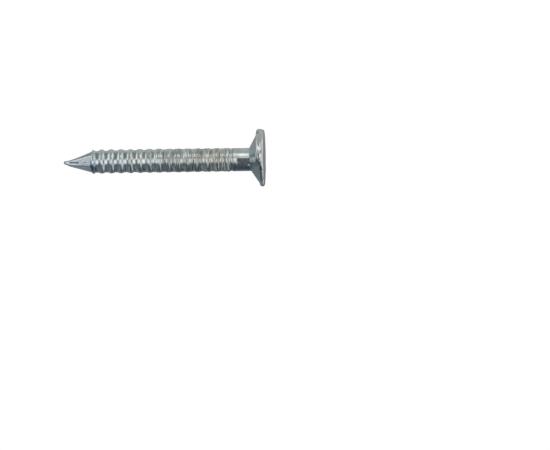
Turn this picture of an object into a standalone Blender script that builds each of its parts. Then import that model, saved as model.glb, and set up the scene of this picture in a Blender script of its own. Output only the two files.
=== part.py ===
"""Ring-shank nail, 3.5 x 30 mm, modelled as the single piece of wire that it is.

The nail lies along X. The origin is the centre of the flat face that the hammer strikes, the
head is at +X and the point reaches towards -X. Everything is in metres.

Along its length the wire is: an upset head with a rounded edge and a conical underside, a short
smooth neck, a shank with annular rings rolled into it, and a point pinched to four flat facets.
"""

import math

import bmesh
import bpy
from mathutils import Matrix

# Whole nail
OVERALL_LENGTH = 0.0308
TURNED_SEGMENTS = 36

# Head
HEAD_DIAMETER = 0.0087
HEAD_RIM_THICKNESS = 0.00095
HEAD_EDGE_RADIUS = 0.00018
HEAD_EDGE_STEPS = 2
HEAD_CONE_HALF_ANGLE = math.radians(60.0)

# Neck: the smooth wire between the head's cone and the first ring
NECK_DIAMETER = 0.00347
NECK_FILLET_HEIGHT = 0.00012

# Rings: the wire's full diameter between the grooves
RING_DIAMETER = 0.00355
GROOVE_COUNT = 15
GROOVE_PITCH = 0.001486
FIRST_GROOVE_FROM_TIP = 0.00496
GROOVE_WIDTH = 0.00062
GROOVE_FLOOR_WIDTH = 0.00022
GROOVE_DEPTH_AT_POINT = 0.00023
GROOVE_DEPTH_AT_HEAD = 0.00011

# Point
POINT_LENGTH = 0.00446
TIP_WIDTH = 0.00055
POINT_SIDES = 4

# Finish
ZINC_COLOUR = (0.62, 0.65, 0.66, 1.0)
ZINC_ROUGHNESS = 0.28
MERGE_DISTANCE = 0.00001

HEAD_RADIUS = HEAD_DIAMETER / 2
NECK_RADIUS = NECK_DIAMETER / 2
RING_RADIUS = RING_DIAMETER / 2
CONE_HEIGHT = (HEAD_RADIUS - NECK_RADIUS) / math.tan(HEAD_CONE_HALF_ANGLE)
LYING_ALONG_X = (0.0, math.pi / 2, 0.0)


def clear_scene():
    """Remove every object that the scene starts with."""
    for thing in list(bpy.data.objects):
        bpy.data.objects.remove(thing, do_unlink=True)


def make_collection(name):
    """Return a new collection linked to the scene."""
    collection = bpy.data.collections.new(name)
    bpy.context.scene.collection.children.link(collection)
    return collection


def make_zinc():
    """Return the bright zinc-plated steel finish."""
    material = bpy.data.materials.new("zinc_plated_steel")
    material.use_nodes = True
    shader = material.node_tree.nodes["Principled BSDF"]
    shader.inputs["Base Color"].default_value = ZINC_COLOUR
    shader.inputs["Metallic"].default_value = 1.0
    shader.inputs["Roughness"].default_value = ZINC_ROUGHNESS
    return material


def head_outline():
    """Return (radius, height) points from the struck face's centre to the end of the cone."""
    inner_radius = HEAD_RADIUS - HEAD_EDGE_RADIUS
    points = [(0.0, 0.0)]
    for step in range(HEAD_EDGE_STEPS + 1):
        turn = math.pi / 2 * step / HEAD_EDGE_STEPS
        radius = inner_radius + HEAD_EDGE_RADIUS * math.sin(turn)
        height = HEAD_EDGE_RADIUS * (math.cos(turn) - 1.0)
        points.append((radius, height))
    rim_bottom = -HEAD_RIM_THICKNESS
    points.append((HEAD_RADIUS, rim_bottom + HEAD_EDGE_RADIUS))
    points.append((inner_radius, rim_bottom - HEAD_EDGE_RADIUS / math.tan(HEAD_CONE_HALF_ANGLE)))
    neck_top = rim_bottom - CONE_HEIGHT
    fillet_radius = NECK_FILLET_HEIGHT * math.tan(HEAD_CONE_HALF_ANGLE)
    points.append((NECK_RADIUS + fillet_radius, neck_top + NECK_FILLET_HEIGHT))
    points.append((NECK_RADIUS, neck_top - NECK_FILLET_HEIGHT))
    return points


def groove_outline(index):
    """Return (radius, height) points across one groove; groove 0 is the nearest to the point."""
    centre = FIRST_GROOVE_FROM_TIP + index * GROOVE_PITCH - OVERALL_LENGTH
    towards_head = index / (GROOVE_COUNT - 1)
    depth = GROOVE_DEPTH_AT_POINT + (GROOVE_DEPTH_AT_HEAD - GROOVE_DEPTH_AT_POINT) * towards_head
    return [
        (RING_RADIUS, centre + GROOVE_WIDTH / 2),
        (RING_RADIUS - depth, centre + GROOVE_FLOOR_WIDTH / 2),
        (RING_RADIUS - depth, centre - GROOVE_FLOOR_WIDTH / 2),
        (RING_RADIUS, centre - GROOVE_WIDTH / 2),
    ]


def nail_outline():
    """Return the turned outline, from the head's centre down its outer side to the wire's end."""
    last_groove = FIRST_GROOVE_FROM_TIP + (GROOVE_COUNT - 1) * GROOVE_PITCH - OVERALL_LENGTH
    rings_top = last_groove + GROOVE_WIDTH
    wire_end = -OVERALL_LENGTH - TIP_WIDTH
    points = head_outline()
    points.append((NECK_RADIUS, rings_top + NECK_FILLET_HEIGHT))
    points.append((RING_RADIUS, rings_top))
    for index in reversed(range(GROOVE_COUNT)):
        points.extend(groove_outline(index))
    points.append((RING_RADIUS, wire_end))
    points.append((0.0, wire_end))
    return points


def turn_wire(collection, material):
    """Return the nail as a turned body, before its point is pinched."""
    outline = nail_outline()
    mesh = bpy.data.meshes.new("nail")
    corners = [(radius, 0.0, height) for radius, height in outline]
    edges = [(start, start + 1) for start in range(len(outline) - 1)]
    mesh.from_pydata(corners, edges, [])
    nail = bpy.data.objects.new("nail", mesh)
    nail.rotation_euler = LYING_ALONG_X
    mesh.materials.append(material)
    collection.objects.link(nail)

    screw = nail.modifiers.new("turn", "SCREW")
    screw.axis = "Z"
    screw.angle = 2.0 * math.pi
    screw.steps = TURNED_SEGMENTS
    screw.render_steps = TURNED_SEGMENTS
    screw.use_merge_vertices = True
    screw.merge_threshold = MERGE_DISTANCE
    screw.use_smooth_shade = False
    return nail


def make_point_dies(collection):
    """Return the long pyramid that the pinching dies leave: the nail is what lies inside it."""
    slope = (RING_RADIUS - TIP_WIDTH / 2) / POINT_LENGTH
    length = OVERALL_LENGTH + HEAD_RADIUS
    half_width = TIP_WIDTH / 2 + slope * length
    across_corners = 1.0 / math.cos(math.pi / POINT_SIDES)
    facets_square_to_the_axes = Matrix.Rotation(math.pi / POINT_SIDES, 4, "Z")
    shape = bmesh.new()
    bmesh.ops.create_cone(
        shape,
        cap_ends=True,
        segments=POINT_SIDES,
        radius1=TIP_WIDTH / 2 * across_corners,
        radius2=half_width * across_corners,
        depth=length,
        matrix=facets_square_to_the_axes,
    )
    bmesh.ops.recalc_face_normals(shape, faces=shape.faces)
    mesh = bpy.data.meshes.new("point_dies")
    shape.to_mesh(mesh)
    shape.free()
    dies = bpy.data.objects.new("point_dies", mesh)
    dies.rotation_euler = LYING_ALONG_X
    dies.location = (length / 2 - OVERALL_LENGTH, 0.0, 0.0)
    dies.display_type = "WIRE"
    dies.hide_render = True
    collection.objects.link(dies)
    return dies


def pinch_point(nail, dies):
    """Cut the four facets of the point."""
    cut = nail.modifiers.new("pinch_point", "BOOLEAN")
    cut.operation = "INTERSECT"
    cut.solver = "EXACT"
    cut.object = dies


def main():
    """Build the nail."""
    clear_scene()
    parts = make_collection("ring_shank_nail")
    cutters = make_collection("cutters")
    nail = turn_wire(parts, make_zinc())
    dies = make_point_dies(cutters)
    pinch_point(nail, dies)


main()
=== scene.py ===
"""Looks of the ring-shank nail: the fine surface, the zinc finish with some light and shade painted
into it, the floor, lights and camera.

The nail lies along X with its struck face at the origin and its point towards -X, as the CAD has
it. Lengths are in metres. `along` is always the distance from the tip, and `turn` is the angle
round the axis: 0 at +Z, the side that faces the camera, and a quarter turn at +Y. Here +Z is the
top, +Y the far side and -Y the near side.
"""

import math

import bpy
import numpy as np
from mathutils import Matrix, Vector


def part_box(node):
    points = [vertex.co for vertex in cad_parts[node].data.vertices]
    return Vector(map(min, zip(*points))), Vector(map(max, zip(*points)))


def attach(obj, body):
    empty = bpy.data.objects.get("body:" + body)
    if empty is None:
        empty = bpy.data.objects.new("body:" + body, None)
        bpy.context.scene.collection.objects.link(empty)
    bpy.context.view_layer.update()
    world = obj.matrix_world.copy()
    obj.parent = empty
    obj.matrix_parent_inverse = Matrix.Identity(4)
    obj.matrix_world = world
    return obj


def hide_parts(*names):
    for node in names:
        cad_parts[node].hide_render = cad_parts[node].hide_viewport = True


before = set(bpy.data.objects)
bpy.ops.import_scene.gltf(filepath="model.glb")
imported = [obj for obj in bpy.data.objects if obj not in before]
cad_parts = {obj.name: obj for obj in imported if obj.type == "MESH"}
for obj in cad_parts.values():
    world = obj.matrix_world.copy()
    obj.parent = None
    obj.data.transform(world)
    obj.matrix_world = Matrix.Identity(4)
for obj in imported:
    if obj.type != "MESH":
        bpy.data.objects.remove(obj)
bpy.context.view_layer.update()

# ---------------------------------------------------------------- sizes from the frame
nail_low, nail_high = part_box("nail")
LENGTH = nail_high.x - nail_low.x
HEAD_RADIUS = (nail_high.y - nail_low.y) / 2
MM = 0.001
TURN = 2.0 * math.pi

# ---------------------------------------------------------------- shank
RING_RADIUS = 1.775 * MM
NECK_RADIUS = 1.745 * MM
GROOVE_COUNT = 15
GROOVE_PITCH = 1.470 * MM
FIRST_GROOVE = 5.13 * MM
GROOVE_HALF_WIDTH = 0.38 * MM
GROOVE_SQUARENESS = 4.4
GROOVE_DEPTH_AT_POINT = 0.165 * MM
GROOVE_DEPTH_AT_HEAD = 0.070 * MM
GROOVE_JITTER = 0.02 * MM
# The grooves level out at this share of the way from the first one to the last
GROOVES_LEVEL_OUT = 0.60
FAR_SIDE_EXTRA = 0.22
CREASE_HALF_WIDTH = 0.17 * MM
CREASE_DEPTH_AT_HEAD = 0.085 * MM
CREST_RISE = 0.05 * MM
CREST_EDGE = (0.18 * MM, 0.55 * MM)
CREST_CROWN = 0.062 * MM
CROWN_HALF_WIDTH = 0.35 * GROOVE_PITCH
# The first grooves lie this much nearer to the head on top, and nearer to the tip underneath
TOP_SHIFT = 0.30 * MM
# How much of each is gone where the grooves have levelled out; past 1 it is turned round
SHIFT_LOSS = 1.3
CROWN_LOSS = 0.7
# How much of each is gone at the last groove
FAR_SIDE_LOSS = 0.6
GROOVE_WIDTH_LOSS = 0.2
CREASE_WIDTH_LOSS = 0.35
RISE_LOSS = 0.6
FAR_SIDE_SWELL = 0.065 * MM
RINGS_END = 26.2 * MM
LAST_RIDGE = 25.33 * MM
LAST_RIDGE_HEIGHT = 0.055 * MM
LAST_RIDGE_HALF_WIDTH = 0.09 * MM
# The rolled lines come up between these distances from the tip, from this share of their height
ROLLED_RISE = (8.0 * MM, 20.0 * MM)
ROLLED_LEAST = 0.30
ROLLED_LINE_HEIGHT = 0.0100 * MM
WIRE_WAVE_HEIGHT = 0.0015 * MM

# ---------------------------------------------------------------- head
RIM_THICKNESS = 1.03 * MM
CONE_HALF_ANGLE = math.radians(58.8)
CONE_EDGE_RADIUS = 3.68 * MM
NECK_FILLET = 0.14 * MM
RIM_SHIFT_Y = 0.21 * MM
CONE_EDGE_LEAN = math.tan(math.radians(4.3))
UNDER_RIM_LEAN = math.tan(math.radians(3.4))
UNDER_RIM_STEP = 0.068 * MM
FACE_LEAN = math.tan(math.radians(-0.1))
FACE_LEAN_BACK = math.tan(math.radians(1.6))
UNDER_EDGE_RADIUS = 0.22 * MM
FACE_EDGE_RADIUS = 0.25 * MM
RIM_BARREL = 0.085 * MM
RIM_WAVE_HEIGHT = 0.017 * MM
RIM_GRAIN_HEIGHT = 0.004 * MM
FACE_DOME = 0.05 * MM
FACE_WAVE_HEIGHT = 0.004 * MM
FACE_WAVE_WIDTH = 1.2 * MM
FACE_FAN_RADIUS = 0.02 * MM
CONE_WAVE_HEIGHT = 0.006 * MM
CONE_SHIFT_Y = -0.03 * MM
CONE_HEIGHT = (CONE_EDGE_RADIUS - NECK_RADIUS) / math.tan(CONE_HALF_ANGLE)
CONE_START = LENGTH - RIM_THICKNESS - CONE_HEIGHT
NECK_END = CONE_START - 0.36 * MM

# ---------------------------------------------------------------- point
POINT_END = 4.70 * MM
TIP_HALF_HEIGHT = 0.18 * MM
TIP_BLUNT = 0.26 * MM
TIP_ROUND = 0.16 * MM
TIP_CAP = 0.01 * MM
POINT_SLOPE = math.radians(18.1)
POINT_HOLLOW = 0.03 * MM
SHOULDER_START = 4.32 * MM
SHOULDER_RISE = 0.50 * MM
POINT_DROP = 0.20 * MM
TIP_LIFT = 0.10 * MM
# Each flat of the point: the turn that it faces, and its share of the point's half height
POINT_FLATS = (
    (math.radians(5.0), 0.91),
    (math.radians(60.6), 0.92),
    (math.radians(122.0), 0.80),
    (math.radians(185.0), 0.91),
    (math.radians(242.0), 0.84),
    (math.radians(300.3), 0.914),
)
RIDGE_SHARPNESS = 40.0
# Where the shoulder behind the point is less full, and by how much
SHOULDER_DENT_TURN = math.radians(28.0)
SHOULDER_DENT_HALF_TURN = math.radians(62.0)
SHOULDER_DENT = 0.8
DIE_LINE_HEIGHT = 0.0028 * MM
DIE_LINE_LOBES = (17, 23, 31, 37)
# The fold near the tip and the burrs where the point ends: height, distance from the tip, turn,
# length along the nail and width round it
POINT_MARKS = (
    (-0.035 * MM, 1.9 * MM, math.radians(10.0), 1.3 * MM, 0.13 * MM),
    (0.07 * MM, 4.52 * MM, math.radians(86.0), 0.26 * MM, 0.6 * MM),
    (0.12 * MM, 4.68 * MM, math.radians(-86.0), 0.17 * MM, 0.4 * MM),
)

# ---------------------------------------------------------------- marks of the machine
GRIP_FLAT_START = 26.62 * MM
GRIP_FLAT_END = 28.36 * MM
GRIP_FLAT_TURN = math.radians(-10.3)
GRIP_FLAT_DEPTH = 0.06 * MM
GRIP_FLAT_ROUGHNESS = 0.0015 * MM
# The sliver of metal where the neck meets the cone
SLIVER_HEIGHT = 0.14 * MM
SLIVER_ALONG = 28.55 * MM
SLIVER_TURN = math.radians(-35.0)
SLIVER_LENGTH = 0.74 * MM
SLIVER_WIDTH = 0.22 * MM
SLIVER_SLANT = math.radians(-38.0)
SCRATCH_COUNT = 130
SCRATCH_HEIGHT = 0.010 * MM
PIT_COUNT = 60

# ---------------------------------------------------------------- mesh fineness
TURN_STEPS = 128
POINT_STEP = 0.075 * MM
RING_STEP = 0.040 * MM
NECK_STEP = 0.060 * MM
NOSE_STEPS = 7
FILLET_STEPS = 6
CONE_STEPS = 26
UNDER_RIM_STEPS = 4
EDGE_STEPS = 8
FACE_STEPS = 26

SEED = 20
rng = np.random.default_rng(SEED)


def smoothstep(low, high, value):
    """Return 0 below low, 1 above high, and a smooth rise between them."""
    share = np.clip((value - low) / (high - low), 0.0, 1.0)
    return share * share * (3.0 - 2.0 * share)


def hill(value, half_width):
    """Return a smooth bump of height 1 at 0, with long tails."""
    return np.exp(-((value / half_width) ** 2))


def dip(value, half_width):
    """Return a smooth bump of height 1 at 0 that ends at half_width."""
    return 0.5 + 0.5 * np.cos(math.pi * np.clip(np.abs(value) / half_width, 0.0, 1.0))


def about_one(spread):
    """Return a random factor within spread of 1."""
    return rng.uniform(1.0 - spread, 1.0 + spread)


def turn_between(turn, centre):
    """Return the signed angle from centre to turn, within half a turn each way."""
    return (turn - centre + math.pi) % TURN - math.pi


def mark(along, turn, at, facing, length, width, slant=0.0):
    """Return an oval spot of height 1; with no slant it is long along the nail."""
    ahead = along - at
    aside = turn_between(turn, facing) * RING_RADIUS
    lengthwise = ahead * math.cos(slant) + aside * math.sin(slant)
    crosswise = aside * math.cos(slant) - ahead * math.sin(slant)
    return hill(lengthwise, length / 2) * hill(crosswise, width / 2)


def ripples(along, turn, waves, shortest, longest, lobes):
    """Return random waves of about unit height, `lobes` at most of them round the nail."""
    total = np.zeros(np.broadcast(along, turn).shape)
    for _ in range(waves):
        length = shortest * (longest / shortest) ** rng.random()
        round_the_nail = rng.integers(-lobes, lobes + 1)
        phase = rng.uniform(0.0, TURN)
        total += np.cos(TURN / length * along + round_the_nail * turn + phase)
    return total / math.sqrt(waves / 2.0)


# ---------------------------------------------------------------- the outline's stations
def spaced(start, end, step):
    """Return evenly spaced values from start up to, but without, end."""
    count = max(1, round((end - start) / step))
    return np.linspace(start, end, count, endpoint=False)


def body_stations():
    """Return the distances from the tip of the sections from the tip to the start of the cone."""
    nose = TIP_ROUND * (1.0 - np.cos(np.linspace(0.06, math.pi / 2, NOSE_STEPS, endpoint=False)))
    return np.concatenate([
        nose,
        spaced(TIP_ROUND, SHOULDER_START, POINT_STEP),
        spaced(SHOULDER_START, RINGS_END, RING_STEP),
        spaced(RINGS_END, NECK_END, NECK_STEP),
    ])


def rounded(centre_along, centre_radius, radius, start, end, steps):
    """Return (along, radius) points on an arc; angle 0 points outwards, -90 degrees to the tip."""
    angles = np.radians(np.linspace(start, end, steps))
    return [
        (centre_along + radius * math.sin(angle), centre_radius + radius * math.cos(angle))
        for angle in angles
    ]


def straight(start, end, steps):
    """Return points on the line from start to end, without start itself."""
    shares = np.linspace(0.0, 1.0, steps + 1)[1:]
    return [
        (start[0] + (end[0] - start[0]) * share, start[1] + (end[1] - start[1]) * share)
        for share in shares
    ]


def head_stations():
    """Return (along, radius) from the neck's end, over the cone and rim, to the face's centre."""
    reach = NECK_FILLET * math.tan(CONE_HALF_ANGLE / 2)
    fillet = []
    for angle in np.linspace(0.0, CONE_HALF_ANGLE, FILLET_STEPS):
        fillet.append((
            CONE_START - reach + NECK_FILLET * math.sin(angle),
            NECK_RADIUS + NECK_FILLET * (1.0 - math.cos(angle)),
        ))
    points = straight((NECK_END, NECK_RADIUS), fillet[0], FILLET_STEPS)[:-1] + fillet
    under_rim = LENGTH - RIM_THICKNESS
    points += straight(points[-1], (under_rim, CONE_EDGE_RADIUS), CONE_STEPS)
    # The rim's underside stands square to the nail, out to the rounded edge
    edge = UNDER_EDGE_RADIUS
    points += straight(points[-1], (under_rim, HEAD_RADIUS - edge), UNDER_RIM_STEPS)
    points += rounded(under_rim + edge, HEAD_RADIUS - edge, edge, -80.0, -8.0, EDGE_STEPS - 1)
    face_edge = LENGTH - FACE_EDGE_RADIUS
    points += straight(points[-1], (face_edge, HEAD_RADIUS), EDGE_STEPS)
    edge = FACE_EDGE_RADIUS
    points += rounded(face_edge, HEAD_RADIUS - edge, edge, 9.0, 90.0, EDGE_STEPS + 1)
    points += straight(points[-1], (LENGTH, FACE_FAN_RADIUS), FACE_STEPS)
    return np.array(points)


# ---------------------------------------------------------------- shape of the wire
def ring_radius(along, turn):
    """Return the rolled shank's radius: wide grooves, and crowned rings creased along their middle."""
    radius = np.full(np.broadcast(along, turn).shape, RING_RADIUS)
    for index in range(GROOVE_COUNT):
        share = index / (GROOVE_COUNT - 1)
        level = min(share / GROOVES_LEVEL_OUT, 1.0)
        centre = FIRST_GROOVE + index * GROOVE_PITCH + rng.normal(0.0, GROOVE_JITTER)
        sway = rng.uniform(0.01, 0.04) * MM * np.cos(turn - rng.uniform(0.0, TURN))
        leaning = TOP_SHIFT * (1.0 - SHIFT_LOSS * level) * np.cos(turn)
        offset = along - centre - sway - leaning

        depth = GROOVE_DEPTH_AT_POINT + (GROOVE_DEPTH_AT_HEAD - GROOVE_DEPTH_AT_POINT) * level
        far_side = 1.0 + FAR_SIDE_EXTRA * np.sin(turn) * (1.0 - FAR_SIDE_LOSS * share)
        depth = depth * about_one(0.12) * far_side
        half = GROOVE_HALF_WIDTH * about_one(0.06) * (1.0 - GROOVE_WIDTH_LOSS * share)
        radius -= depth / (1.0 + np.abs(offset / half) ** GROOVE_SQUARENESS)

        middle = GROOVE_PITCH * rng.uniform(0.46, 0.54)
        crease = CREASE_DEPTH_AT_HEAD * share ** 2 * about_one(0.25)
        radius -= crease * dip(offset - middle, CREASE_HALF_WIDTH * (1.0 - CREASE_WIDTH_LOSS * share))

        # Each ring is crowned, and rises a little towards the head
        crown = CREST_CROWN * (1.0 - CROWN_LOSS * level)
        radius += crown * dip(offset - GROOVE_PITCH / 2, CROWN_HALF_WIDTH)
        rise = CREST_RISE * (1.0 - RISE_LOSS * share) * about_one(0.2)
        on_ring = smoothstep(*CREST_EDGE, offset) * smoothstep(*CREST_EDGE, GROOVE_PITCH - offset)
        radius += rise * (offset / GROOVE_PITCH - 0.5) * on_ring
    last_ridge = LAST_RIDGE_HEIGHT * hill(along - LAST_RIDGE, LAST_RIDGE_HALF_WIDTH)
    return radius + last_ridge * (0.6 - 0.4 * np.sin(turn))


def scratches(along, turn):
    """Return the fine lines that the rollers left round the rings, raised and sunk."""
    height = np.zeros(np.broadcast(along, turn).shape)
    for _ in range(SCRATCH_COUNT):
        at = rng.uniform(4.6 * MM, 26.6 * MM)
        facing = rng.uniform(0.0, TURN)
        length = rng.uniform(1.2, 6.0) * MM
        width = rng.uniform(0.09, 0.20) * MM
        size = rng.normal(0.0, SCRATCH_HEIGHT)
        slant = math.pi / 2 + rng.normal(0.0, 0.03)
        height += size * mark(along, turn, at, facing, length, width, slant)
    return height


def pits(along, turn):
    """Return small dents, scattered over the shank."""
    depth = np.zeros(np.broadcast(along, turn).shape)
    for _ in range(PIT_COUNT):
        at = rng.uniform(1.5 * MM, 28.0 * MM)
        facing = rng.uniform(0.0, TURN)
        length = rng.uniform(0.12, 0.30) * MM
        width = rng.uniform(0.12, 0.24) * MM
        slant = rng.uniform(0.0, math.pi)
        size = rng.uniform(0.004, 0.016) * MM
        depth += size * mark(along, turn, at, facing, length, width, slant)
    return depth


def wire_radius(along, turn):
    """Return the radius of rings and neck together, with the marks on them."""
    to_neck = smoothstep(RINGS_END - 0.25 * MM, RINGS_END + 0.15 * MM, along)
    radius = ring_radius(along, turn) * (1.0 - to_neck) + NECK_RADIUS * to_neck
    rolled = ROLLED_LEAST + (1.0 - ROLLED_LEAST) * smoothstep(*ROLLED_RISE, along)
    rolled = rolled * (1.0 - 0.9 * smoothstep(RINGS_END - 0.3 * MM, RINGS_END + 0.9 * MM, along))
    radius = radius + ROLLED_LINE_HEIGHT * rolled * ripples(along, turn, 30, 0.25 * MM, 1.1 * MM, 2)
    radius = radius + WIRE_WAVE_HEIGHT * ripples(along, turn, 20, 0.8 * MM, 4.0 * MM, 7)
    swell = FAR_SIDE_SWELL * (1.0 - along / RINGS_END)
    radius = radius + swell * np.maximum(np.sin(turn), 0.0) ** 2
    return radius + scratches(along, turn) * rolled - pits(along, turn)


def grip_flat(along, turn, radius):
    """Return the radius with the flat where the wire was gripped while its head was struck."""
    towards = np.maximum(np.cos(turn_between(turn, GRIP_FLAT_TURN)), 0.5)
    flat = (NECK_RADIUS - GRIP_FLAT_DEPTH) / towards
    flat = flat + GRIP_FLAT_ROUGHNESS * ripples(along, turn, 12, 0.2 * MM, 0.8 * MM, 30)
    inside = smoothstep(GRIP_FLAT_START, GRIP_FLAT_START + 0.08 * MM, along)
    inside = inside * (1.0 - smoothstep(GRIP_FLAT_END - 0.05 * MM, GRIP_FLAT_END, along))
    return radius - np.maximum(radius - flat, 0.0) * inside


def point_radius(along, turn, wire):
    """Return the wire's radius cut down by the flats of the point, their ridges a little rounded."""
    half_height = TIP_HALF_HEIGHT + math.tan(POINT_SLOPE) * along
    half_height = half_height - POINT_HOLLOW * dip(along - POINT_END / 2, POINT_END / 2)
    half_height = np.maximum(half_height, TIP_BLUNT)
    dented = dip(turn_between(turn, SHOULDER_DENT_TURN), SHOULDER_DENT_HALF_TURN)
    shoulder = SHOULDER_RISE * smoothstep(SHOULDER_START, POINT_END, along)
    half_height = half_height + shoulder * (1.0 - SHOULDER_DENT * dented)
    inverse = (1.0 / wire) ** RIDGE_SHARPNESS
    for facing, share in POINT_FLATS:
        towards = np.maximum(np.cos(turn_between(turn, facing)), 0.0)
        inverse = inverse + (towards / (share * half_height)) ** RIDGE_SHARPNESS
    nose = np.sqrt(np.clip(1.0 - (1.0 - np.minimum(along / TIP_ROUND, 1.0)) ** 2, 0.0, 1.0))
    radius = inverse ** (-1.0 / RIDGE_SHARPNESS) * nose
    # Lines from the pinching dies, then the fold and the burrs
    on_point = 1.0 - smoothstep(SHOULDER_START - 0.5 * MM, SHOULDER_START, along)
    on_point = on_point * smoothstep(0.3 * MM, 1.6 * MM, along)
    lines = sum(np.cos(lobes * turn + rng.uniform(0.0, TURN)) for lobes in DIE_LINE_LOBES)
    radius = radius + DIE_LINE_HEIGHT * lines * on_point
    for height, at, facing, length, width in POINT_MARKS:
        radius = radius + height * mark(along, turn, at, facing, length, width)
    return radius


def sliver(along, turn):
    """Return the height of the sliver of metal that stands up where the neck meets the cone."""
    spot = mark(along, turn, SLIVER_ALONG, SLIVER_TURN, SLIVER_LENGTH, SLIVER_WIDTH, SLIVER_SLANT)
    return SLIVER_HEIGHT * spot


def body_points():
    """Return the vertices from tip to neck, one row for each station."""
    along = body_stations()[:, None]
    turn = np.linspace(0.0, TURN, TURN_STEPS, endpoint=False)[None, :]
    radius = grip_flat(along, turn, wire_radius(along, turn))
    radius = point_radius(along, turn, radius)
    radius = radius + sliver(along, turn)
    centre_y = -POINT_DROP * (1.0 - smoothstep(0.9 * MM, 6.0 * MM, along))
    centre_y = centre_y + TIP_LIFT * (1.0 - smoothstep(0.0, 1.0 * MM, along))
    return np.stack([
        np.broadcast_to(along - LENGTH, radius.shape),
        centre_y + radius * np.sin(turn),
        radius * np.cos(turn),
    ], axis=-1)


def head_points():
    """Return the vertices of the cone, rim and struck face, one row for each station."""
    stations = head_stations()
    along = stations[:, 0][:, None]
    radius = stations[:, 1][:, None]
    turn = np.linspace(0.0, TURN, TURN_STEPS, endpoint=False)[None, :]
    on_cone = smoothstep(NECK_RADIUS, CONE_EDGE_RADIUS, radius)
    on_rim = smoothstep(LENGTH - RIM_THICKNESS, LENGTH - 0.6 * RIM_THICKNESS, along)
    to_face = smoothstep(LENGTH - RIM_THICKNESS, LENGTH, along)
    past_cone = smoothstep(CONE_EDGE_RADIUS, CONE_EDGE_RADIUS + 0.3 * MM, radius)
    past_cone = np.maximum(past_cone, on_rim)
    barrel = np.sin(math.pi * np.clip((along - LENGTH + RIM_THICKNESS) / RIM_THICKNESS, 0.0, 1.0))
    edgewise = smoothstep(0.9 * HEAD_RADIUS, HEAD_RADIUS, radius)
    radius = radius + RIM_BARREL * (barrel - 1.0) * edgewise
    radius = radius + RIM_WAVE_HEIGHT * edgewise * ripples(along, turn, 16, 0.7 * MM, 2.5 * MM, 16)
    radius = radius + RIM_GRAIN_HEIGHT * edgewise * ripples(along, turn, 16, 0.25 * MM, 0.8 * MM, 40)
    radius = radius + sliver(along, turn) * (1.0 - edgewise)
    side = radius * np.sin(turn)
    up = radius * np.cos(turn)
    shape = side.shape
    under_lean = CONE_EDGE_LEAN + (UNDER_RIM_LEAN - CONE_EDGE_LEAN) * past_cone
    lean = under_lean * (1.0 - to_face) + FACE_LEAN * to_face
    x = along - LENGTH - lean * side + FACE_LEAN_BACK * up * to_face
    x = x + UNDER_RIM_STEP * past_cone * (1.0 - to_face)
    x = x - FACE_DOME * to_face * (radius / HEAD_RADIUS) ** 2
    face_waves = ripples(side, up / FACE_WAVE_WIDTH, 18, 1.5 * MM, 5.0 * MM, 3)
    x = x + FACE_WAVE_HEIGHT * to_face * face_waves
    cone_only = on_cone * (1.0 - past_cone)
    x = x + CONE_WAVE_HEIGHT * cone_only * ripples(0.7 * radius, turn, 14, 0.8 * MM, 3.0 * MM, 7)
    shift = RIM_SHIFT_Y * past_cone + CONE_SHIFT_Y * cone_only
    return np.stack([np.broadcast_to(x, shape), side + shift, up], axis=-1)


def make_nail():
    """Return the nail as one closed mesh."""
    rows = np.concatenate([body_points(), head_points()])
    row_count = len(rows)
    vertices = rows.reshape(-1, 3)
    tip = rows[0].mean(axis=0) - np.array([TIP_CAP, 0.0, 0.0])
    face = rows[-1].mean(axis=0)
    vertices = np.concatenate([vertices, [tip, face]])
    corner = np.arange(row_count * TURN_STEPS).reshape(row_count, TURN_STEPS)
    after = np.roll(corner, -1, axis=1)
    quads = np.stack([corner[:-1], after[:-1], after[1:], corner[1:]], axis=-1).reshape(-1, 4)
    tip_index = row_count * TURN_STEPS
    tip_fan = [(tip_index, int(b), int(a)) for a, b in zip(corner[0], after[0])]
    face_fan = [(tip_index + 1, int(a), int(b)) for a, b in zip(corner[-1], after[-1])]
    mesh = bpy.data.meshes.new("nail_surface")
    mesh.from_pydata(vertices.tolist(), [], quads.tolist() + tip_fan + face_fan)
    mesh.update()
    mesh.shade_smooth()
    nail = bpy.data.objects.new("nail_surface", mesh)
    bpy.context.scene.collection.objects.link(nail)
    return nail


# ---------------------------------------------------------------- node helpers
def new_material(name):
    """Return a material with nodes, and its Principled shader."""
    material = bpy.data.materials.new(name)
    material.use_nodes = True
    return material, material.node_tree.nodes["Principled BSDF"]


def add_math(tree, operation, first, second=None, clamp=False):
    """Return the output of a math node; each input is a socket or a number."""
    node = tree.nodes.new("ShaderNodeMath")
    node.operation = operation
    node.use_clamp = clamp
    for socket, value in zip(node.inputs, (first, second)):
        if isinstance(value, (int, float)):
            socket.default_value = value
        elif value is not None:
            tree.links.new(value, socket)
    return node.outputs[0]


def add_product(tree, *factors):
    """Return the product of the factors; each is a socket or a number."""
    product = factors[0]
    for factor in factors[1:]:
        product = add_math(tree, "MULTIPLY", product, factor)
    return product


def add_range(tree, value, low, high, to_low=0.0, to_high=1.0):
    """Return value carried smoothly from low..high to to_low..to_high."""
    node = tree.nodes.new("ShaderNodeMapRange")
    node.interpolation_type = "SMOOTHSTEP"
    node.inputs["From Min"].default_value = low
    node.inputs["From Max"].default_value = high
    node.inputs["To Min"].default_value = to_low
    node.inputs["To Max"].default_value = to_high
    tree.links.new(value, node.inputs["Value"])
    return node.outputs["Result"]


def add_noise(tree, vector, scale, detail, roughness=0.5):
    """Return the output of a noise texture, about 0.5 on average."""
    node = tree.nodes.new("ShaderNodeTexNoise")
    node.inputs["Scale"].default_value = scale
    node.inputs["Detail"].default_value = detail
    node.inputs["Roughness"].default_value = roughness
    tree.links.new(vector, node.inputs["Vector"])
    return node.outputs["Fac"]


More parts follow.
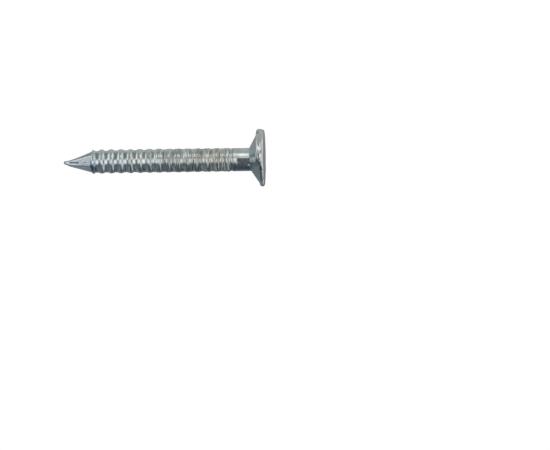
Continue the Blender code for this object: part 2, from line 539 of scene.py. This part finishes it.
def add_scaled(tree, vector, along_scale, across_scale):
    """Return the vector stretched by its own scale along the nail and across it."""
    node = tree.nodes.new("ShaderNodeVectorMath")
    node.operation = "MULTIPLY"
    node.inputs[1].default_value = (along_scale, across_scale, across_scale)
    tree.links.new(vector, node.inputs[0])
    return node.outputs[0]


def add_parts(tree, vector):
    """Return the vector's X, Y and Z."""
    node = tree.nodes.new("ShaderNodeSeparateXYZ")
    tree.links.new(vector, node.inputs[0])
    return node.outputs["X"], node.outputs["Y"], node.outputs["Z"]


def add_ramp(tree, value, stops):
    """Return the colour that the stops (place, colour) give at value, straight between them."""
    node = tree.nodes.new("ShaderNodeValToRGB")
    tree.links.new(value, node.inputs["Fac"])
    elements = node.color_ramp.elements
    while len(elements) > 1:
        elements.remove(elements[-1])
    for index, (place, colour) in enumerate(stops):
        element = elements[0] if index == 0 else elements.new(place)
        element.position = place
        element.color = (*colour, 1.0)
    return node.outputs["Color"]


def add_mix(tree, factor, first, second, blend="MIX"):
    """Return two colours mixed; each is a socket or a colour."""
    node = tree.nodes.new("ShaderNodeMix")
    node.data_type = "RGBA"
    node.blend_type = blend
    for name, value in (("Factor", factor), ("A", first), ("B", second)):
        socket = next(s for s in node.inputs if s.name == name and s.enabled)
        if isinstance(value, (int, float)):
            socket.default_value = value
        elif isinstance(value, tuple):
            socket.default_value = (*value, 1.0)
        else:
            tree.links.new(value, socket)
    return next(s for s in node.outputs if s.enabled)


def add_tint(tree, mask, colour, tint):
    """Return the colour multiplied by the tint where the mask is 1."""
    return add_mix(tree, mask, colour, tint, "MULTIPLY")


def add_window(tree, value, middle, half, fade):
    """Return 1 where value is within half of the middle, and a smooth fall to 0 past that."""
    away = add_math(tree, "ABSOLUTE", add_math(tree, "SUBTRACT", value, middle))
    return add_range(tree, away, half, half + fade, 1.0, 0.0)


def add_bump(tree, height, strength, distance, normal=None):
    """Return the normal that the height gives, on top of another normal if one is given."""
    node = tree.nodes.new("ShaderNodeBump")
    node.inputs["Strength"].default_value = strength
    node.inputs["Distance"].default_value = distance
    tree.links.new(height, node.inputs["Height"])
    if normal is not None:
        tree.links.new(normal, node.inputs["Normal"])
    return node.outputs["Normal"]


# ---------------------------------------------------------------- zinc
# The passivated zinc's tint, by the distance in mm from the struck face
TINT_STOPS = (
    (30.8, (0.80, 0.86, 0.92)),
    (26.6, (0.77, 0.83, 0.89)),
    (26.0, (0.71, 0.76, 0.80)),
    (20.0, (0.71, 0.76, 0.77)),
    (11.5, (0.72, 0.76, 0.75)),
    (8.0, (0.77, 0.78, 0.72)),
    (5.5, (0.74, 0.76, 0.73)),
    (3.2, (0.73, 0.79, 0.79)),
    (1.9, (0.62, 0.70, 0.73)),
    (0.9, (0.72, 0.74, 0.74)),
    (0.0, (0.74, 0.74, 0.76)),
)
# How strongly the rollers' marks show, by the share of the nail's length from the struck face
ROLLED_STOPS = (
    (0.10, (0.0, 0.0, 0.0)),
    (0.17, (1.0, 1.0, 1.0)),
    (0.40, (1.0, 1.0, 1.0)),
    (0.62, (0.45, 0.45, 0.45)),
    (0.83, (0.35, 0.35, 0.35)),
    (0.86, (0.0, 0.0, 0.0)),
)
POINT_SHARE = (0.845, 0.865)
# Painted reflection: a bluish tint on the near side
NEAR_SIDE_REFLECTION_TINT = (0.80, 0.91, 0.97)
PINK_TINT = (1.0, 0.95, 0.965)
# Distances from the axis in mm between which the surface goes from groove to ring
GROOVE_EDGE = (1.60, 1.72)
DEEP_GROOVE_EDGE = (1.66, 1.75)
# Painted shade that darkens the grooves a little
GROOVE_PAINTED_SHADE = (0.95, 0.97, 0.96)
# The deeper grooves get dark ovals of painted shade in a band of Y: its middle, half width and fade in
# mm
FAR_GROOVE_SHADE_BAND = (0.86, 0.30, 0.24)
FAR_GROOVE_PAINTED_SHADE = (0.58, 0.62, 0.58)
# The point's far flats get painted shade past these turns, as seen from its own axis, which lies to
# the near side
POINT_AXIS_DROP = 0.16
FAR_FLAT_TURNS = (math.radians(31.0), math.radians(42.0))
FAR_FLAT_PAINTED_SHADE = (0.58, 0.61, 0.61)
CONE_MIDDLE = (CONE_START - LENGTH) / MM + 0.53
# Painted highlight and shade bands across the cone's top, standing in for reflections, from 2 mm on
# the near side to 2 mm on the far side
CONE_PAINTED_BANDS = (
    (0.05, (1.00, 1.00, 1.00)),
    (0.30, (0.74, 0.76, 0.76)),
    (0.42, (1.05, 1.10, 1.10)),
    (0.50, (1.20, 1.28, 1.28)),
    (0.56, (0.60, 0.68, 0.70)),
    (0.66, (0.27, 0.33, 0.35)),
    (0.85, (0.90, 0.90, 0.92)),
)
SPECK_TINT = (0.36, 0.40, 0.42)
STREAK_SHADE = (0.76, 0.77, 0.78)
ROUND_STREAK_SHADE = (0.60, 0.61, 0.62)
GRIP_PAINTED_SHADE = (0.18, 0.17, 0.17)
# The dark patch on the gripped flat, partly bare metal and partly painted shade, in mm: its middle is
# a little nearer to the head than the flat's
GRIP_MIDDLE = ((GRIP_FLAT_START + GRIP_FLAT_END) / 2 - LENGTH) / MM + 0.20
GRIP_MIDDLE_Y = math.sin(GRIP_FLAT_TURN) * NECK_RADIUS / MM
# A painted dark reflection across the rim, in mm: it slants as it goes across, and wanders
RIM_DARK_REFLECTION = (0.13, 0.14, 0.16)
RIM_REFLECTION_SLOPE = 0.16
RIM_REFLECTION_MIDDLE = -0.58
RIM_REFLECTION_WANDER = 0.16
NECK_MIDDLE_X = (RINGS_END + NECK_END) / 2 / MM - LENGTH / MM
# Marks on the side that faces up, some stains in the plating and some painted light: the dark spot in
# the fold near the tip, the long dark strip along the middle of the shank and the dark patch on the
# neck's near side are painted shade, and the two bright streaks on the point are painted highlights.
# For each: X and Y of the middle, half sizes along X and Y, how far it slants along Y for each mm
# along X, all in mm, and the tint
STAINS_AND_PAINTED_LIGHT = (
    # Painted shade in the fold near the tip
    (-29.05, -0.13, 0.75, 0.13, -0.02, (0.16, 0.18, 0.20)),
    # Painted highlights: two bright streaks on the point
    (-28.55, -0.49, 1.30, 0.07, -0.13, (1.25, 1.22, 1.18)),
    (-28.60, 0.10, 1.10, 0.05, 0.20, (1.22, 1.20, 1.16)),
    (-30.55, 0.00, 0.22, 0.40, 0.00, (0.50, 0.48, 0.45)),
    (-26.25, -0.80, 0.15, 0.80, 0.00, (0.42, 0.46, 0.47)),
    (-25.85, -0.76, 0.28, 0.50, 0.00, (0.55, 0.62, 0.78)),
    (-22.70, 0.35, 0.20, 0.25, 0.00, (0.60, 0.62, 0.60)),
    # Painted shade: a long dark strip along the middle of the shank
    (-9.60, -0.06, 5.60, 0.36, 0.00, (0.80, 0.80, 0.78)),
    # Painted shade: a dark patch on the neck's near side
    (-3.40, -1.25, 1.60, 0.55, 0.00, (0.62, 0.68, 0.78)),
    (-0.90, 3.90, 0.30, 0.24, 0.00, (0.60, 0.58, 0.60)),
)


class Places:
    """Where a shaded spot is on the nail: its position in mm, and masks, as node outputs.

    Each mask is 1 on what it names and 0 away from it.
    """

    def __init__(self, tree):
        place = tree.nodes.new("ShaderNodeTexCoord")
        self.position = add_scaled(tree, place.outputs["Object"], 1.0 / MM, 1.0 / MM)
        self.x, self.y, self.z = add_parts(tree, self.position)
        self.from_face = add_math(tree, "MULTIPLY", self.x, -1.0 / (LENGTH / MM))
        self.top_side = add_range(tree, self.z, 0.0, 0.4)
        self.rolled = add_ramp(tree, self.from_face, ROLLED_STOPS)
        self.on_point = add_range(tree, self.from_face, *POINT_SHARE)
        self.add_groove_masks(tree)
        self.on_cone = add_product(
            tree,
            add_window(tree, self.x, CONE_MIDDLE, 0.50, 0.07),
            add_range(tree, self.z, 0.0, 0.8),
        )
        self.on_neck = add_window(tree, self.x, NECK_MIDDLE_X, 1.1, 0.4)
        self.specks = add_range(tree, add_noise(tree, self.position, 3.2, 2.0, 0.7), 0.66, 0.72)
        self.grip = add_product(
            tree,
            add_window(tree, self.x, GRIP_MIDDLE, 0.88, 0.12),
            add_window(tree, self.y, GRIP_MIDDLE_Y, 0.40, 0.14),
            self.top_side,
            add_range(tree, add_noise(tree, self.position, 4.5, 3.0, 0.7), 0.35, 0.55, 0.75, 1.0),
        )

    def add_groove_masks(self, tree):
        """Find the grooves by their distance from the axis, short of the point and of the head."""
        across = tree.nodes.new("ShaderNodeVectorMath")
        across.operation = "LENGTH"
        tree.links.new(add_scaled(tree, self.position, 0.0, 1.0), across.inputs[0])
        from_axis = across.outputs["Value"]
        off_point = add_math(tree, "SUBTRACT", 1.0, self.on_point)
        off_ends = add_product(tree, off_point, add_range(tree, self.x, -4.9, -4.5, 1.0, 0.0))
        groove = add_range(tree, from_axis, *GROOVE_EDGE, 1.0, 0.0)
        self.in_groove = add_product(tree, groove, off_ends)
        deep = add_range(tree, from_axis, *DEEP_GROOVE_EDGE, 1.0, 0.0)
        # The band where the deeper grooves get painted shade
        far_band = add_window(tree, self.y, *FAR_GROOVE_SHADE_BAND)
        self.far_groove_shade = add_product(tree, deep, off_ends, far_band)


def add_plating_tint(tree, on):
    """Return the tint along the nail: clouded, pinkish here and there, and bluer on the near side as a
    painted reflection.
    """
    stops = [(distance * MM / LENGTH, colour) for distance, colour in reversed(TINT_STOPS)]
    colour = add_ramp(tree, on.from_face, stops)
    # Painted reflection: the near side is tinted bluer
    near_side_reflection = add_range(tree, on.y, 0.2, -1.7, 0.0, 0.55)
    colour = add_tint(tree, near_side_reflection, colour, NEAR_SIDE_REFLECTION_TINT)
    cloud = add_noise(tree, on.position, 0.75, 4.0)
    return add_tint(tree, add_range(tree, cloud, 0.50, 0.64), colour, PINK_TINT)


def add_streaks(tree, on, colour):
    """Return the colour with dark streaks: round the shank, and along the point."""
    round_streaks = add_noise(tree, add_scaled(tree, on.position, 3.8, 0.45), 1.0, 4.0, 0.6)
    round_streaks = add_product(tree, on.rolled, add_range(tree, round_streaks, 0.42, 0.58))
    colour = add_tint(tree, round_streaks, colour, ROUND_STREAK_SHADE)
    long_streaks = add_noise(tree, add_scaled(tree, on.position, 0.35, 5.0), 1.0, 3.0, 0.6)
    long_streaks = add_product(tree, on.on_point, add_range(tree, long_streaks, 0.40, 0.60))
    return add_tint(tree, long_streaks, colour, STREAK_SHADE)


def add_painted_shading(tree, on, colour):
    """Return the colour with painted shade in the grooves and on the point's far flats, and painted
    highlight and shade bands on the cone.
    """
    # Painted shade in the grooves
    colour = add_tint(tree, on.in_groove, colour, GROOVE_PAINTED_SHADE)
    # Painted shade: dark ovals in the deeper grooves
    colour = add_tint(tree, on.far_groove_shade, colour, FAR_GROOVE_PAINTED_SHADE)
    # Painted shade on the point's far flats
    facing = add_math(tree, "ARCTAN2", add_math(tree, "ADD", on.y, POINT_AXIS_DROP), on.z)
    far_flat_shade = add_product(tree, add_range(tree, facing, *FAR_FLAT_TURNS), on.on_point)
    colour = add_tint(tree, far_flat_shade, colour, FAR_FLAT_PAINTED_SHADE)
    # Painted highlight and shade bands on the cone, standing in for reflections
    cone_painted_bands = add_ramp(tree, add_range(tree, on.y, -2.0, 2.0), CONE_PAINTED_BANDS)
    return add_tint(tree, on.on_cone, colour, cone_painted_bands)


def add_stains_and_painted_light(tree, on, colour):
    """Return the colour with each of the stains and painted light spots on it."""
    for x, y, half_x, half_y, slope, tint in STAINS_AND_PAINTED_LIGHT:
        slanted = add_math(tree, "MULTIPLY", add_math(tree, "ADD", on.x, -x), -slope)
        from_line = add_math(tree, "ADD", on.y, slanted)
        stain_or_painted_light = add_product(
            tree,
            add_window(tree, from_line, y, 0.6 * half_y, 0.8 * half_y),
            add_window(tree, on.x, x, 0.8 * half_x, 0.4 * half_x),
            on.top_side,
        )
        colour = add_tint(tree, stain_or_painted_light, colour, tint)
    return colour


def add_rim_dark_reflection(tree, on, colour):
    """Return the colour with a painted dark reflection that runs across the rim."""
    slanted = add_math(tree, "ADD", on.x, add_math(tree, "MULTIPLY", on.y, RIM_REFLECTION_SLOPE))
    wander = add_noise(tree, on.position, 1.3, 3.0)
    wander = add_range(tree, wander, 0.3, 0.7, -RIM_REFLECTION_WANDER, RIM_REFLECTION_WANDER)
    # Painted dark reflection across the rim
    rim_reflection = add_product(
        tree,
        add_window(tree, add_math(tree, "ADD", slanted, wander), RIM_REFLECTION_MIDDLE, 0.10, 0.14),
        add_window(tree, on.y, -0.60, 0.95, 0.45),
        add_range(tree, on.z, 3.0, 3.6),
    )
    return add_tint(tree, rim_reflection, colour, RIM_DARK_REFLECTION)


def add_gloss(tree, on):
    """Return the roughness: uneven, and higher where the plating is dull, pitted or bare."""
    gloss = add_range(tree, add_noise(tree, on.position, 3.5, 6.0), 0.3, 0.7, 0.08, 0.19)
    rougher = (
        (on.in_groove, 0.03),
        (on.specks, 0.25),
        (on.grip, 0.30),
        (on.on_neck, 0.09),
        (on.on_cone, 0.28),
    )
    for mask, extra in rougher:
        gloss = add_math(tree, "ADD", gloss, add_product(tree, mask, extra), clamp=True)
    return gloss


def add_relief(tree, on):
    """Return the normal: fine lines round the wire, and the grain of the plating."""
    lines = add_noise(tree, add_scaled(tree, on.position, 9.0, 0.8), 1.0, 3.0, 0.55)
    lines = add_product(tree, lines, on.rolled)
    normal = add_bump(tree, lines, 0.5, 0.035 * MM)
    return add_bump(tree, add_noise(tree, on.position, 8.0, 4.0), 0.18, 0.02 * MM, normal)


def make_zinc():
    """Return bright zinc plating on drawn wire: streaked, specked and stained, with painted shade in
    the grooves, on the point's far flats and on the gripped flat, a painted dark reflection across the
    rim, painted highlights on the point and painted reflection bands on the cone.
    """
    material, shader = new_material("zinc_plating")
    tree = material.node_tree
    on = Places(tree)
    colour = add_plating_tint(tree, on)
    colour = add_streaks(tree, on, colour)
    colour = add_painted_shading(tree, on, colour)
    colour = add_tint(tree, on.specks, colour, SPECK_TINT)
    colour = add_stains_and_painted_light(tree, on, colour)
    # Painted shade on the gripped flat, which is also bare there
    colour = add_tint(tree, on.grip, colour, GRIP_PAINTED_SHADE)
    colour = add_rim_dark_reflection(tree, on, colour)
    # The middle of the cone is matt
    matt = add_product(tree, on.on_cone, add_window(tree, on.y, -0.14, 0.22, 0.42))
    tree.links.new(colour, shader.inputs["Base Color"])
    tree.links.new(add_range(tree, matt, 0.0, 1.0, 1.0, 0.45), shader.inputs["Metallic"])
    tree.links.new(add_gloss(tree, on), shader.inputs["Roughness"])
    tree.links.new(add_relief(tree, on), shader.inputs["Normal"])
    return material


def make_floor_paint():
    """Return the plain pale floor, bright enough that the nail leaves hardly a shadow."""
    material, shader = new_material("pale_floor")
    shader.inputs["Base Color"].default_value = (0.08, 0.08, 0.08, 1.0)
    shader.inputs["Roughness"].default_value = 1.0
    shader.inputs["Specular IOR Level"].default_value = 0.0
    shader.inputs["Emission Color"].default_value = (1.0, 1.0, 1.0, 1.0)
    shader.inputs["Emission Strength"].default_value = FLOOR_BRIGHTNESS
    return material


# ---------------------------------------------------------------- where the nail rests
RING_REST_ALONG = FIRST_GROOVE + GROOVE_PITCH / 2
HEAD_REST_ALONG = LENGTH - RIM_THICKNESS / 2
FLOOR_TILT = math.atan2(HEAD_RADIUS - RING_RADIUS, HEAD_REST_ALONG - RING_REST_ALONG)
FLOOR_NORMAL = Vector((math.sin(FLOOR_TILT), 0.0, math.cos(FLOOR_TILT)))
FLOOR_POINT = Vector((HEAD_REST_ALONG - LENGTH, 0.0, -HEAD_RADIUS))
FLOOR_SIZE = 3.0
FLOOR_GAP = 0.03 * MM
FLOOR_BRIGHTNESS = 0.975


def make_floor():
    """Lay the floor just under the head's rim and the ring nearest to the point."""
    mesh = bpy.data.meshes.new("floor")
    half = FLOOR_SIZE / 2
    corners = [(-half, -half, 0.0), (half, -half, 0.0), (half, half, 0.0), (-half, half, 0.0)]
    mesh.from_pydata(corners, [], [(0, 1, 2, 3)])
    floor = bpy.data.objects.new("floor", mesh)
    floor.rotation_euler = (0.0, FLOOR_TILT, 0.0)
    floor.location = FLOOR_POINT - FLOOR_NORMAL * FLOOR_GAP
    floor.visible_glossy = False
    mesh.materials.append(make_floor_paint())
    bpy.context.scene.collection.objects.link(floor)


# ---------------------------------------------------------------- light
# The studio's colour round the nail, by the angle in degrees from straight above it towards its
# far side
ROUND_THE_NAIL = (
    (-180, (0.20, 0.22, 0.23)),
    (-150, (0.19, 0.21, 0.22)),
    (-128, (0.18, 0.20, 0.21)),
    (-106, (0.075, 0.092, 0.096)),
    (-80, (0.080, 0.096, 0.100)),
    (-55, (0.115, 0.130, 0.134)),
    (-20, (0.140, 0.150, 0.150)),
    (8, (0.12, 0.125, 0.125)),
    (22, (0.27, 0.28, 0.275)),
    (40, (0.34, 0.36, 0.35)),
    (100, (0.45, 0.48, 0.46)),
    (128, (0.52, 0.54, 0.53)),
    (155, (0.36, 0.38, 0.39)),
    (180, (0.20, 0.22, 0.23)),
)
# Each panel: the angle of its middle towards the head's end and towards the far side, its half
# width and half height, how far its sides and its ends fade, all in degrees, and its colour
PANELS = (
    (-38, -75, 20, 60, 8, 10, (0.165, 0.185, 0.19)),
    (34, -75, 18, 60, 8, 10, (0.165, 0.185, 0.19)),
    (-23, -108, 7, 36, 5, 14, (0.25, 0.275, 0.285)),
    (-9, -4, 12, 9, 6, 26, (1.22, 1.21, 1.20)),
    (22, -14, 10, 22, 6, 20, (0.78, 0.79, 0.79)),
    (-58, 58, 14, 28, 9, 22, (0.98, 1.02, 1.00)),
    (42, 58, 14, 28, 9, 22, (0.98, 1.00, 0.96)),
    (-41, -5, 5, 18, 4, 10, (1.10, 1.18, 1.24)),
    (31, -95, 6, 62, 5, 10, (0.66, 0.70, 0.74)),
    (-78, 4, 9, 20, 5, 10, (0.60, 0.60, 0.60)),
    (70, -20, 20, 120, 8, 12, (0.80, 0.81, 0.82)),
)
# The lamp close to the nail's neck, whose light lies along it as one soft streak
LAMP_DISTANCE = 70 * MM
LAMP_LEAN = math.radians(-3.5)
LAMP_ROUND = math.radians(46.0)
LAMP_WIDTH = 20 * MM
LAMP_HEIGHT = 38 * MM
LAMP_BRIGHTNESS = 0.95
LAMP_COLOUR = (0.96, 1.0, 0.99)
BACKDROP = (0.995, 0.995, 0.995)
NECK_MIDDLE = Vector((-3.6 * MM, 0.0, NECK_RADIUS))
CAMERA_LEAN = math.radians(-2.2)


def add_panel(tree, studio, endwise, around, panel):
    """Return the studio with one more panel in it, its edges faded."""
    *angles, colour = panel
    angles = [math.radians(angle) for angle in angles]
    middle_x, middle_y, half_width, half_height, side_fade, end_fade = angles
    across = add_window(tree, endwise, middle_x, half_width, side_fade)
    upwards = add_window(tree, around, middle_y, half_height, end_fade)
    return add_mix(tree, add_product(tree, across, upwards), studio, colour)


def make_world():
    """Surround the nail with a soft studio of pale panels; the camera sees a plain backdrop."""
    world = bpy.data.worlds.new("studio")
    world.use_nodes = True
    bpy.context.scene.world = world
    tree = world.node_tree
    nodes, links = tree.nodes, tree.links
    place = nodes.new("ShaderNodeTexCoord")
    upright = nodes.new("ShaderNodeVectorRotate")
    upright.rotation_type = "Y_AXIS"
    upright.inputs["Angle"].default_value = -(FLOOR_TILT + CAMERA_LEAN)
    links.new(place.outputs["Generated"], upright.inputs["Vector"])
    x, y, z = add_parts(tree, upright.outputs[0])
    endwise = add_math(tree, "ARCSINE", x)
    around = add_math(tree, "ARCTAN2", y, z)
    whole_turn = add_range(tree, around, -math.pi, math.pi)
    whole_turn.node.interpolation_type = "LINEAR"
    stops = [((angle + 180) / 360, colour) for angle, colour in ROUND_THE_NAIL]
    studio = add_ramp(tree, whole_turn, stops)
    for panel in PANELS:
        studio = add_panel(tree, studio, endwise, around, panel)
    rays = nodes.new("ShaderNodeLightPath")
    seen = add_mix(tree, rays.outputs["Is Camera Ray"], studio, BACKDROP)
    links.new(seen, nodes["Background"].inputs["Color"])


def hang_lamp():
    """Hang the lamp for the neck."""
    light = bpy.data.lights.new("neck_lamp", "AREA")
    light.shape = "RECTANGLE"
    light.size = LAMP_WIDTH
    light.size_y = LAMP_HEIGHT
    light.energy = LAMP_BRIGHTNESS * math.pi * LAMP_WIDTH * LAMP_HEIGHT
    light.color = LAMP_COLOUR
    lamp = bpy.data.objects.new("neck_lamp", light)
    towards = Vector((math.tan(LAMP_LEAN), math.sin(LAMP_ROUND), math.cos(LAMP_ROUND))).normalized()
    upwards = towards.cross(Vector((1.0, 0.0, 0.0))).normalized()
    axes = Matrix((upwards.cross(towards), upwards, towards)).transposed()
    lamp.matrix_world = Matrix.Translation(NECK_MIDDLE + towards * LAMP_DISTANCE) @ axes.to_4x4()
    lamp.visible_camera = False
    lamp.visible_diffuse = False
    bpy.context.scene.collection.objects.link(lamp)


def direction(lean_x, lean_y):
    """Return the unit direction that leans from the floor's normal towards +X and +Y."""
    x_axis = Vector((math.cos(FLOOR_TILT), 0.0, -math.sin(FLOOR_TILT)))
    y_axis = Vector((0.0, 1.0, 0.0))
    return (FLOOR_NORMAL + x_axis * math.tan(lean_x) + y_axis * math.tan(lean_y)).normalized()


# ---------------------------------------------------------------- camera
CAMERA_LENS = 85.0
CAMERA_SENSOR = 36.0
VIEW_WIDTH = 83.6 * MM
PICTURE_RIGHT_OF_NAIL = 16.9 * MM
PICTURE_BELOW_NAIL = 9.77 * MM
CAMERA_ROLL = math.radians(0.67)
NAIL_MIDDLE = Vector((-LENGTH / 2, 0.0, 0.0))


def make_camera():
    """Look down on the nail, which lies up and to the left of the picture's middle."""
    data = bpy.data.cameras.new("camera")
    data.lens = CAMERA_LENS
    data.sensor_width = CAMERA_SENSOR
    data.clip_start = 0.01
    data.clip_end = 10.0
    camera = bpy.data.objects.new("camera", data)
    back = direction(CAMERA_LEAN, 0.0)
    right = Vector((0.0, 1.0, 0.0)).cross(back).normalized()
    upwards = back.cross(right)
    turned_right = right * math.cos(CAMERA_ROLL) - upwards * math.sin(CAMERA_ROLL)
    turned_up = right * math.sin(CAMERA_ROLL) + upwards * math.cos(CAMERA_ROLL)
    target = NAIL_MIDDLE + turned_right * PICTURE_RIGHT_OF_NAIL - turned_up * PICTURE_BELOW_NAIL
    distance = VIEW_WIDTH * CAMERA_LENS / CAMERA_SENSOR
    axes = Matrix((turned_right, turned_up, back)).transposed()
    camera.matrix_world = Matrix.Translation(target + back * distance) @ axes.to_4x4()
    bpy.context.scene.collection.objects.link(camera)
    bpy.context.scene.camera = camera


bpy.context.scene.view_settings.view_transform = "Standard"
make_camera()
make_world()
hang_lamp()
make_floor()
nail = make_nail()
nail.data.materials.append(make_zinc())
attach(nail, "root")
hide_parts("nail")
